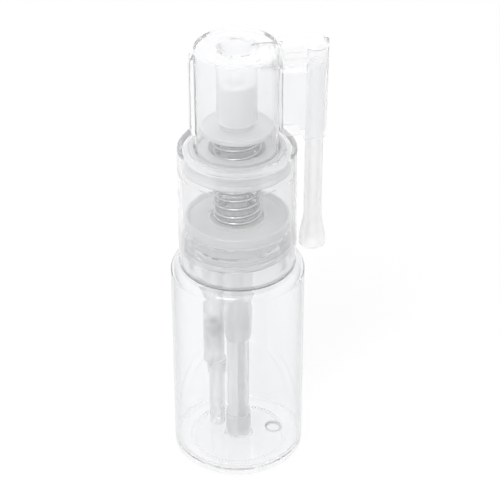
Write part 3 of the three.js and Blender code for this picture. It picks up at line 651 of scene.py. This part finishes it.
def makeBottle(s):
    inner = s["radius"] - s["wall"]
    flatRadius = s["footRadius"] - s["wall"] - s["innerCorner"]
    shoulderFoot = s["height"] - s["shoulder"]
    innerTop = s["height"] - s["wall"]
    innerRound = s["shoulder"] - s["wall"]
    floor = s["base"] + s["pushUp"]
    outline = [
        (0, s["gateHeight"] + s["recess"]), (s["gateRadius"] - 0.5, s["gateHeight"] + s["recess"], 0.2),
        (s["gateRadius"], s["recess"], 0.2), (s["ringInner"] - 1.6, s["recess"], 1.2),
        (s["ringInner"], 0, 0.2), *arc(s["footRadius"] - s["corner"], s["corner"], s["corner"], -90, 0, 8),
        *arc(s["radius"] - s["shoulder"], shoulderFoot, s["shoulder"], 0, 90, 10),
        (s["neckRadius"], s["height"], 0.5), (s["neckRadius"], s["neckTop"], 0.4),
        (s["neckBore"], s["neckTop"], 0.25), (s["neckBore"], innerTop, 0.8),
        *arc(inner - innerRound, innerTop - innerRound, innerRound, 90, 0, 8),
        *arc(flatRadius, s["base"] + s["innerCorner"], s["innerCorner"], 0, -90, 10),
        (s["gateRadius"], floor, 0.6), (0, floor),
    ]
    thing = turned(outline, s["segments"])
    slope = s["pushUp"] / (flatRadius - s["gateRadius"])
    level = floor - slope * (s["dimpleDistance"] - s["gateRadius"])
    dimple = turned([
        (0, level - s["dimpleDepth"] + 0.15), (s["dimpleRadius"] - 0.25, level - s["dimpleDepth"], 0.4),
        (s["dimpleRadius"], level + 0.1, 0.05), (s["dimpleRadius"], level + 1, 0.2),
        (0, level + 1)], 72, polar(s["dimpleDistance"], s["dimpleAngle"]))
    knurls = grow(ribRing, {
        "Radius": s["knurlRadius"], "Count": s["knurls"], "Size": s["knurlSize"],
        "Height": s["knurlHeight"], "Material": clearBottle})
    thread = ridge(s["neckRadius"], s["threadReach"], threadSizes["foot"], s["threadTurns"])
    combine(thing, "DIFFERENCE", dimple)
    combine(thing, "UNION", knurls, thread)
    finishPiece(thing, "clearBottleBody", "bottle", "bottle", clearBottle)


makeBottle(bottleSizes)

# the collar is also the pump's cylinder
collarSizes = {
    "radius": 15.0, "footRadius": 15.2, "bore": 13.7, "foot": 58.6, "top": 92.5, "lipFoot": 91.0,
    "mouth": 12.4, "round": 0.7, "threadTurns": 1.5, "threadReach": -1.0,
    "lineHeight": 86.5, "lineDepth": 0.12, "lineHalf": 0.18, "segments": 240,
}


def makeCollar(s):
    slope = (s["footRadius"] - s["radius"]) / (s["top"] - s["foot"])
    line = s["radius"] + slope * (s["top"] - s["lineHeight"])
    outline = [
        (s["bore"], s["foot"], 0.5), (s["footRadius"], s["foot"], 0.3),
        (line, s["lineHeight"] - s["lineHalf"], 0.04), (line - s["lineDepth"], s["lineHeight"], 0.03),
        (line, s["lineHeight"] + s["lineHalf"], 0.04),
        (s["radius"], s["top"], s["round"]), (s["mouth"], s["top"], 0.3),
        (s["mouth"], s["lipFoot"], 0.2), (s["bore"], s["lipFoot"], 0.25),
    ]
    thing = turned(outline, s["segments"])
    foot = threadSizes["foot"] + threadSizes["pitch"] / 2
    combine(thing, "UNION", ridge(s["bore"], s["threadReach"], foot, s["threadTurns"]))
    finishPiece(thing, "clearScrewCollar", "collar", "pump", clearCollar)


makeCollar(collarSizes)

gasketSizes = {"inner": 11.4, "outer": 12.6, "foot": 69.5, "top": 70.1}


def makeGasket(s):
    outline = ringOutline(s["inner"], s["outer"], s["foot"], s["top"])
    thing = turned(outline, rounding=0.15)
    finishPiece(thing, "neckSealRing", "neck_gasket", "neck_seal", softSeal)


makeGasket(gasketSizes)

# where the air's way down stands beside the dip tube
airPlace = {"angle": 145.5, "housing": 7.2, "tube": 6.4}
housingAt = polar(airPlace["housing"], airPlace["angle"])
airTubeAt = polar(airPlace["tube"], airPlace["angle"])

# the cylinder's floor with its plug, riser, dip tube socket and air spout
baseSizes = {
    "flangeFoot": 70.4, "floor": 71.6, "rim": 13.4, "rimTop": 72.9, "rimInner": 12.6,
    "seatInner": 6.6, "seatOuter": 7.4, "seatTop": 72.3, "riser": 2.5, "bore": 1.5, "riserTop": 95.0,
    "plug": 10.8, "plugInner": 9.8, "plugFoot": 62.6, "socketBore": 3.1, "socketOuter": 3.6,
    "socketTop": 4.1, "socketFoot": 34.1, "dipTop": 42.1, "spout": 1.6, "spoutBore": 0.8,
    "spoutFoot": 56.0, "spoutRoot": 60.3, "housing": 2.8,
}


def makeCylinderBase(s):
    outline = [
        (s["bore"], s["riserTop"]), (s["bore"], s["dipTop"] + 0.3, 0.2),
        (s["socketBore"], s["dipTop"] + 0.3), (s["socketBore"], s["socketFoot"], 0.05),
        (s["socketBore"] + 0.2, s["socketFoot"], 0.05), (s["socketOuter"], s["socketFoot"] + 1.5, 0.6),
        (s["socketTop"], s["flangeFoot"], 0.5), (s["plugInner"], s["flangeFoot"], 0.4),
        (s["plugInner"], s["plugFoot"], 0.2), (s["plug"] - 0.4, s["plugFoot"], 0.2),
        (s["plug"], s["plugFoot"] + 1, 0.5), (s["plug"], s["flangeFoot"], 0.2),
        (s["rim"], s["flangeFoot"], 0.2), (s["rim"], s["rimTop"], 0.25), (s["rimInner"], s["rimTop"], 0.25),
        (s["rimInner"] - 0.4, s["floor"], 0.5), (s["seatOuter"], s["floor"], 0.3),
        (s["seatOuter"] - 0.2, s["seatTop"], 0.2), (s["seatInner"], s["seatTop"], 0.2),
        (s["seatInner"], s["floor"], 0.2), (s["riser"], s["floor"], 0.4),
        (s["riser"], s["riserTop"] - 0.6, 0.2), (s["riser"] - 0.4, s["riserTop"]),
    ]
    thing = turned(outline)
    root = s["floor"] - 0.6
    combine(thing, "UNION", disc(s["spout"], s["spoutFoot"], root, 48, housingAt),
            disc(s["housing"], s["spoutRoot"], root, 64, housingAt))
    combine(thing, "DIFFERENCE", disc(s["spoutBore"], s["spoutFoot"] - 1, s["floor"] + 1, 36, housingAt))
    finishPiece(thing, "cylinderFloor", "cylinder_base", "pump", baseWhite)


makeCylinderBase(baseSizes)

dipSizes = {"radius": 2.95, "bore": 1.9, "foot": 3.35, "top": 42.1, "fluteTop": 33.8, "fluteWidth": 2.0,
            "fluteDepth": 0.5, "fluteAngle": -79.0}


def makeDipTube(s):
    outline = [(s["bore"], s["foot"], 0.2), (s["radius"], s["foot"], 0.2), (s["radius"], s["top"], 0.3),
               (s["bore"], s["top"], 0.3)]
    thing = turned(outline, 128)
    flute = block(-s["fluteWidth"] / 2, s["fluteWidth"] / 2, s["radius"] - s["fluteDepth"],
                  s["radius"] + 1, s["foot"] - 1, s["fluteTop"])
    bevel(flute, 0.18)
    flute.data.transform(Matrix.Rotation(math.radians(s["fluteAngle"] - 90), 4, "Z"))
    combine(thing, "DIFFERENCE", flute)
    finishPiece(thing, "dipTubeWithFlute", "dip_tube", "pump", dipWhite)


makeDipTube(dipSizes)

footSizes = {"foot": 2.2, "ledge": 3.0, "top": 8.7, "inner": 3.05, "outer": 3.4, "bore": 1.9, "notch": 1.6,
             "notchDepth": 0.4}


def makeIntakeFoot(s):
    outline = [(s["bore"], s["foot"]), (s["outer"], s["foot"], 0.15), (s["outer"], s["top"], 0.12),
               (s["inner"], s["top"], 0.08), (s["inner"], s["ledge"], 0.05), (s["bore"], s["ledge"], 0.1)]
    thing = turned(outline, 96)
    notches = [block(-s["outer"] - 1, s["outer"] + 1, -s["notch"] / 2, s["notch"] / 2, s["foot"] - 1,
                     s["foot"] + s["notchDepth"]) for _ in range(2)]
    notches[1].data.transform(Matrix.Rotation(math.pi / 2, 4, "Z"))
    combine(thing, "DIFFERENCE", *notches)
    finishPiece(thing, "dipTubeFoot", "intake_foot", "pump", tubeWhite)


makeIntakeFoot(footSizes)

housingSizes = {"radius": 2.8, "inner": 2.35, "foot": 24.0, "floor": 25.2, "top": 60.0, "sleeve": 2.6,
                "sleeveFoot": 21.0, "seat": 2.2, "bore": 1.45, "grip": 57.4}


def makeValveHousing(s):
    outline = [(0, s["foot"]), (s["radius"], s["foot"], 1.0), (s["radius"], s["grip"] - 0.3, 0.1),
               (s["radius"] - 0.12, s["grip"], 0.1), (s["radius"], s["grip"] + 0.3, 0.1),
               (s["radius"], s["top"], 0.15), (s["inner"], s["top"], 0.15), (s["inner"], s["floor"], 0.3),
               (0, s["floor"])]
    thing = turned(outline, 96, housingAt)
    combine(thing, "UNION", disc(s["sleeve"], s["sleeveFoot"], s["foot"] + 1, 96, airTubeAt))
    combine(thing, "DIFFERENCE", disc(s["bore"], s["sleeveFoot"] - 1, s["floor"] + 1.2, 64, airTubeAt),
            disc(s["seat"], s["sleeveFoot"] - 1, s["foot"], 64, airTubeAt))
    finishPiece(thing, "airValveHousing", "valve_housing", "pump", tubeWhite)


makeValveHousing(housingSizes)

valveSizes = {"foot": 32.2, "top": 37.2, "radius": 2.2}


def makeAirValve(s):
    outline = [(0, s["foot"]), (0.9, s["foot"], 0.2), (s["radius"] - 0.6, s["foot"] + 2, 0.3),
               (s["radius"], s["foot"] + 2.2, 0.15), (s["radius"], s["top"], 0.3), (1.2, s["top"], 0.3),
               (0.5, s["foot"] + 1.5, 0.2), (0, s["foot"] + 1.5)]
    thing = turned(outline, 72, housingAt)
    slit = block(housingAt[0] - 0.5, housingAt[0] + 0.5, housingAt[1] - 0.1, housingAt[1] + 0.1,
                 s["foot"] - 1, s["foot"] + 2)
    combine(thing, "DIFFERENCE", slit)
    finishPiece(thing, "slitAirValve", "air_valve", "pump", valveRubber)


makeAirValve(valveSizes)

retainerSizes = {"foot": 28.3, "top": 31.9, "radius": 2.2, "bore": 1.1, "floor": 29.3}


def makeRetainer(s):
    outline = [(s["bore"], s["foot"]), (s["radius"], s["foot"], 0.2), (s["radius"], s["top"]),
               (s["radius"] - 0.5, s["top"]), (s["radius"] - 0.5, s["floor"], 0.2), (s["bore"], s["floor"])]
    thing = turned(outline, 72, housingAt)
    finishPiece(thing, "valveRetainerRing", "valve_retainer", "pump", tubeWhite)


makeRetainer(retainerSizes)

airTubeSizes = {"radius": 2.05, "bore": 1.45, "foot": 3.1, "top": 23.7, "windowWidth": 1.2,
                "windowFoot": 4.6, "windowTop": 9.1}


def makeAirTube(s):
    outline = [(s["bore"], s["foot"]), (s["radius"], s["foot"], 0.15), (s["radius"], s["top"], 0.2),
               (s["bore"], s["top"], 0.15)]
    thing = turned(outline, 96, airTubeAt)
    half = s["windowWidth"] / 2
    window = block(airTubeAt[0] - half, airTubeAt[0] + half, airTubeAt[1] - s["radius"] - 1, airTubeAt[1],
                   s["windowFoot"], s["windowTop"])
    combine(thing, "DIFFERENCE", bevel(window, 0.3))
    finishPiece(thing, "airDownTube", "air_tube", "pump", tubeWhite)


makeAirTube(airTubeSizes)

# the ends are closed turns
springSizes = {"radius": 5.75, "wire": 0.48, "foot": 72.3, "top": 96.4, "turns": 11.3, "endTurns": 1.2,
               "endGap": 0.15, "held": 0.3, "steps": 48, "sides": 14}


def makeSpring(s):
    thing = grow(coil, {
        "Radius": s["radius"], "Wire": s["wire"], "Foot": s["foot"], "Top": s["top"],
        "Turns": s["turns"], "End Share": s["endTurns"] / s["turns"],
        "End Rise": s["endTurns"] * (2 * s["wire"] + s["endGap"]), "Steps": s["steps"],
        "Sides": s["sides"], "Material": springSteel})
    start, end = ((axisX * millimetre, 0, millimetre * height)
                  for height in (s["foot"] + s["held"], s["top"] - s["held"]))
    squeezed = {"bodies": ("pump", "plunger"), "start": start, "end": end}
    finishPiece(thing, "returnSpring", "spring", squeezed, springSteel, 60)


makeSpring(springSizes)

pistonSizes = {
    "radius": 13.4, "waist": 12.9, "lip": 0.7, "foot": 86.9, "top": 90.7, "webFoot": 89.4,
    "hole": 7.0, "hub": 0.9, "boss": 11.9, "bossTop": 92.3, "grooveInner": 9.5, "grooveOuter": 10.8,
    "grooveFloor": 91.0,
}


def makePiston(s):
    outline = [
        (s["hole"], s["foot"] + 1, 0.2), (s["hole"] + s["hub"], s["foot"] + 1, 0.2),
        (s["hole"] + s["hub"], s["webFoot"], 0.3), (s["waist"] - s["lip"], s["webFoot"], 0.5),
        (s["radius"] - s["lip"], s["foot"], 0.15), (s["radius"], s["foot"], 0.15),
        (s["radius"], s["foot"] + 0.5, 0.15), (s["waist"], s["foot"] + 1.2, 0.4),
        (s["waist"], s["top"] - 1.2, 0.4), (s["radius"], s["top"] - 0.5, 0.15),
        (s["radius"], s["top"], 0.25), (s["boss"], s["top"], 0.2), (s["boss"], s["bossTop"], 0.25),
        (s["grooveOuter"], s["bossTop"], 0.15), (s["grooveOuter"], s["grooveFloor"], 0.1),
        (s["grooveInner"], s["grooveFloor"], 0.1), (s["grooveInner"], s["bossTop"], 0.15),
        (s["hole"], s["bossTop"], 0.25),
    ]
    thing = turned(outline, 200)
    finishPiece(thing, "ringPiston", "piston", "plunger", frostedWhite)


makePiston(pistonSizes)

stemSizes = {"bore": 2.9, "radius": 4.2, "foot": 84.0, "flangeFoot": 97.1, "flangeTop": 98.4,
             "flange": 8.95, "top": 110.0, "channel": 1.5, "roof": 107.6}


def makeStem(s):
    outline = [
        (s["bore"], s["foot"]), (s["radius"], s["foot"], 0.2), (s["radius"], s["flangeFoot"], 0.25),
        (s["flange"], s["flangeFoot"], 0.2), (s["flange"], s["flangeTop"], 0.3),
        (s["radius"], s["flangeTop"], 0.35), (s["radius"], s["top"], 0.3), (s["channel"], s["top"], 0.2),
        (s["channel"], s["roof"], 0.2), (s["bore"], s["roof"], 0.2),
    ]
    thing = turned(outline, 144)
    finishPiece(thing, "pumpStem", "stem", "plunger", frostedWhite)


makeStem(stemSizes)

stemSealSizes = {"inner": 2.65, "tip": 3.2, "outer": 4.2, "foot": 82.45, "top": 83.85}


def makeStemSeal(s):
    outline = [(s["inner"], s["foot"], 0.08), (s["tip"], s["foot"], 0.08),
               (s["outer"], s["top"] - 0.7, 0.2), (s["outer"], s["top"], 0.15),
               (s["inner"] + 0.25, s["top"], 0.1)]
    thing = turned(outline, 96)
    finishPiece(thing, "stemWiperSeal", "stem_seal", "plunger", softSeal)


makeStemSeal(stemSealSizes)

buttonSizes = {
    "radius": 10.5, "wall": 0.7, "roof": 1.2, "round": 0.8, "foot": 91.3, "top": 120.0,
    "flat": 9.95, "flatFoot": 93.6, "thumb": 4.3, "thumbDepth": 0.9, "column": 5.0,
    "columnFoot": 100.0, "stemSocket": 4.5, "socketTop": 110.3, "channel": 1.5, "duct": 3.2,
    "ductBore": 1.0, "spigotSocket": 2.4, "spigotSocketStart": 5.15, "ribReach": 11.65,
    "ribWidth": 4.0, "ribFoot": 97.0, "ribTop": 118.3,
}


def makeButton(s):
    inner, roof = s["radius"] - s["wall"], s["top"] - s["roof"]
    body = turned([
        (0, s["foot"]), (s["radius"], s["foot"], 0.15), (s["radius"], s["top"], s["round"]),
        (s["thumb"], s["top"], 0.5), (s["thumb"] - 0.9, s["top"] - 0.7 * s["thumbDepth"], 1.2),
        (0, s["top"] - s["thumbDepth"])], 200)
    beyond = s["radius"] + 5.5
    combine(body, "DIFFERENCE", block(s["flat"], beyond, -beyond, beyond, s["flatFoot"], s["top"] + 1))
    rib = prism([
        (-s["radius"] + 0.35, s["ribFoot"]), (-s["radius"] + 0.35, s["ribTop"]),
        *arc(-s["radius"] + 0.05, s["ribTop"] - 1.1, 1.1, 90, 180, 8),
        (-s["ribReach"] + 0.1, s["ribTop"] - 2.6), (-s["ribReach"], s["ribTop"] - 3.4),
        (-s["ribReach"], s["ribFoot"] + 0.4), (-s["ribReach"] + 0.4, s["ribFoot"])],
        -s["ribWidth"] / 2, s["ribWidth"] / 2, "Y")
    bevel(rib, 0.22, 50, 3)
    hollow = turned([
        (0, s["foot"] - 1), (inner, s["foot"] - 1), (inner, roof, 0.6), (0, roof)], 200)
    combine(hollow, "DIFFERENCE",
            block(s["flat"] - s["wall"], beyond, -beyond, beyond, s["flatFoot"] - s["wall"], roof + 1))
    combine(body, "DIFFERENCE", hollow)
    combine(body, "UNION", disc(s["column"], s["columnFoot"], roof + 0.1, 128),
            bar(s["duct"], 0, s["flat"] - 0.1, 96), rib)
    combine(body, "DIFFERENCE",
            disc(s["stemSocket"], s["columnFoot"] - 1, s["socketTop"], 128),
            disc(s["channel"], s["socketTop"] - 0.3, swivelHeight, 64),
            bar(s["ductBore"], 0, s["flat"] + 1, 48),
            bar(s["spigotSocket"], s["spigotSocketStart"], s["flat"] + 1))
    finishPiece(body, "pushButton", "button", "plunger", clearButton, 17)


makeButton(buttonSizes)

washerSizes = {"radius": 2.8, "hole": 2.4, "start": 10.25, "end": 10.85}


def makeWasher(s):
    outline = ringOutline(s["hole"], s["radius"], s["start"], s["end"])
    thing = alongX(turned(outline, 96, rounding=0.1))
    finishPiece(thing, "swivelWasherRing", "swivel_washer", "plunger", softSeal)


makeWasher(washerSizes)

# the hood, its bearing disc and the spigot in one
elbowSizes = {
    "inner": 10.5, "middle": 19.5, "halfWidth": 3.1, "wall": 0.5, "foot": 93.9, "raised": 95.6,
    "step": 15.6, "top": 120.0, "ceiling": 112.6, "innerRound": 2.0, "outerRound": 3.0,
    "pocket": 3.2, "discStart": 11.05, "discEnd": 11.95, "disc": 3.5, "spigot": 2.1,
    "spigotStart": 5.45, "bore": 1.0, "tubeSeat": 2.6, "seatTop": 118.2, "grooveStart": 8.05,
    "grooveEnd": 9.05, "grooveRadius": 1.6,
}


# the hood seen from above, flat at the button and round at its far end
def hoodPlan(s, inset, foot, top):
    half = s["halfWidth"] - inset
    flat = s["inner"] + inset
    return prism([(flat, -half), *arc(s["middle"], 0, half, -90, 90, 32), (flat, half)], foot, top)


def makeElbow(s):
    end = s["middle"] + s["halfWidth"]
    side = [
        *arc(s["inner"] + s["innerRound"], s["raised"] + s["innerRound"], s["innerRound"], 180, 270, 10),
        (s["step"], s["raised"]), (s["step"] + 0.85, s["foot"]),
        *arc(end - s["outerRound"] / 2, s["foot"] + s["outerRound"] / 2, s["outerRound"] / 2, -90, 0, 10),
        (end, s["top"]), (s["inner"], s["top"]),
    ]
    shell = hoodPlan(s, 0, s["foot"] - 1, s["top"] + 1)
    combine(shell, "INTERSECT", prism(side, -8, 8, "Y"))
    bevel(shell, 0.35, 40, 4)
    hollow = hoodPlan(s, s["wall"], s["foot"] - 2, s["ceiling"])
    bevel(hollow, 0.3, 60, 3)
    combine(shell, "DIFFERENCE", hollow, bar(s["pocket"], s["inner"] - 1, s["discStart"], 96))
    bearing = alongX(turned([
        (0, s["discStart"]), (s["disc"], s["discStart"], 0.1), (s["disc"], s["discEnd"], 0.1),
        (0, s["discEnd"])], 128))
    spigot = alongX(turned([
        (0, s["spigotStart"]), (s["spigot"], s["spigotStart"], 0.25), (s["spigot"], s["discStart"] + 0.5),
        (0, s["discStart"] + 0.5)], 96))
    combine(shell, "UNION", bearing, spigot)
    cut = ringOutline(s["grooveRadius"], s["spigot"] + 1, s["grooveStart"], s["grooveEnd"])
    combine(shell, "DIFFERENCE", alongX(lathe(cut, 96)),
            bar(s["bore"], s["spigotStart"] - 1, s["middle"], 48),
            disc(s["tubeSeat"], s["foot"] - 2, s["seatTop"], 96, (s["middle"], 0)))
    finishPiece(shell, "swivelElbow", "elbow", "nozzle_arm", clearMoulding, 20)


makeElbow(elbowSizes)

swivelSealSizes = {"inner": 1.75, "outer": 2.25, "start": 8.2, "end": 8.9}


def makeSwivelSeal(s):
    outline = ringOutline(s["inner"], s["outer"], s["start"], s["end"])
    thing = alongX(turned(outline, 96, rounding=0.2))
    finishPiece(thing, "spigotSealRing", "swivel_seal", "nozzle_arm", softSeal)


makeSwivelSeal(swivelSealSizes)

tubeSizes = {"radius": 2.3, "bore": 1.4, "flare": 3.4, "foot": 61.6, "top": 114.4, "straight": 1.3,
             "flareLength": 8.6, "flareSteps": 16, "across": 19.5}


def makeNozzleTube(s):
    flare = []
    for step in range(s["flareSteps"] + 1):
        t = step / s["flareSteps"]
        swell = (1 - t) ** 2 * (1 + 2 * t)
        radius = s["radius"] + (s["flare"] - s["radius"]) * swell
        flare.append((radius, s["foot"] + s["straight"] + s["flareLength"] * t, 0))
    outline = [(s["bore"] + 0.5, s["foot"], 0.2), (s["flare"], s["foot"], 0.3), *flare,
               (s["radius"], s["top"], 0.3), (s["bore"], s["top"], 0.2), (s["bore"], s["foot"] + 6, 0)]
    thing = turned(outline, 128, (s["across"], 0))
    finishPiece(thing, "flaredNozzleTube", "nozzle_tube", "nozzle_arm", nozzleWhite)


makeNozzleTube(tubeSizes)

# in metres; the camera was fitted to the photograph
studio = {
    "floorSize": 3.0, "floorGlow": 0.49, "floorTone": 0.45, "skyTop": 1.15, "skySide": 1.05,
    "skyStrength": 0.92, "keyPower": 1.5, "keySize": 0.35, "keyPlace": (-0.28, -0.42, 0.62),
    "keyAim": (0, 0, 0.07), "lens": 126.0, "sensor": 36.0, "cameraPlace": (-0.0617, -0.372, 0.3105),
    "cameraTilt": 56.5, "cameraTurn": -9.5,
}


def makeFloor(s):
    half = s["floorSize"] / 2
    corners = [(-half, -half, 0), (half, -half, 0), (half, half, 0), (-half, half, 0)]
    floor = solid("studioFloor", corners, [[0, 1, 2, 3]])
    material = bpy.data.materials.new("whiteSweep")
    material.use_nodes = True
    tree = material.node_tree
    tree.nodes.remove(tree.nodes["Principled BSDF"])
    path = node(tree, "ShaderNodeLightPath")
    seen = maths(tree, "MAXIMUM", path["Is Camera Ray"],
                 maths(tree, "MAXIMUM", path["Is Glossy Ray"], path["Is Transmission Ray"]))
    glow = node(tree, "ShaderNodeEmission", Color=(1, 1, 1, 1),
                Strength=times(tree, seen, s["floorGlow"]))[0]
    paper = node(tree, "ShaderNodeBsdfDiffuse", Color=(s["floorTone"],) * 3 + (1,))[0]
    whole = inOrder(tree, "ShaderNodeAddShader", None, glow, paper)[0]
    tree.links.new(whole, tree.nodes["Material Output"].inputs["Surface"])
    floor.data.materials.append(material)


def makeSky(s):
    world = bpy.data.worlds.new("softStudio")
    bpy.context.scene.world = world
    world.use_nodes = True
    tree = world.node_tree
    back = tree.nodes["Background"]
    towards = node(tree, "ShaderNodeTexCoord")["Generated"]
    up = node(tree, "ShaderNodeSeparateXYZ", Vector=towards)["Z"]
    level = share(tree, up, 0.0, 0.8, s["skySide"], s["skyTop"])
    seen = node(tree, "ShaderNodeLightPath")["Is Camera Ray"]
    level = maths(tree, "MAXIMUM", level, times(tree, seen, 1.0 / s["skyStrength"]))
    grey = node(tree, "ShaderNodeCombineColor", Red=level, Green=level, Blue=level)[0]
    feed(tree, back.inputs["Color"], grey)
    back.inputs["Strength"].default_value = s["skyStrength"]


def makeKey(s):
    light = bpy.data.lights.new("softKey", "AREA")
    light.energy, light.size = s["keyPower"], s["keySize"]
    lamp = bpy.data.objects.new("softKey", light)
    lamp.location = s["keyPlace"]
    aim = Vector(s["keyAim"]) - lamp.location
    lamp.rotation_euler = aim.to_track_quat("-Z", "Y").to_euler()
    bpy.context.scene.collection.objects.link(lamp)


def makeCamera(s):
    data = bpy.data.cameras.new("camera")
    data.lens, data.sensor_width = s["lens"], s["sensor"]
    camera = bpy.data.objects.new("camera", data)
    camera.location = s["cameraPlace"]
    camera.rotation_euler = (math.radians(s["cameraTilt"]), 0, math.radians(s["cameraTurn"]))
    bpy.context.scene.collection.objects.link(camera)
    bpy.context.scene.camera = camera


makeFloor(studio)
makeSky(studio)
makeKey(studio)
makeCamera(studio)

# light has many clear walls to pass, one behind the other
scene = bpy.context.scene
scene.view_settings.view_transform = "Standard"
scene.cycles.max_bounces = 28
scene.cycles.transmission_bounces = 28
scene.cycles.transparent_max_bounces = 32
scene.cycles.glossy_bounces = 28
print("studio ready")
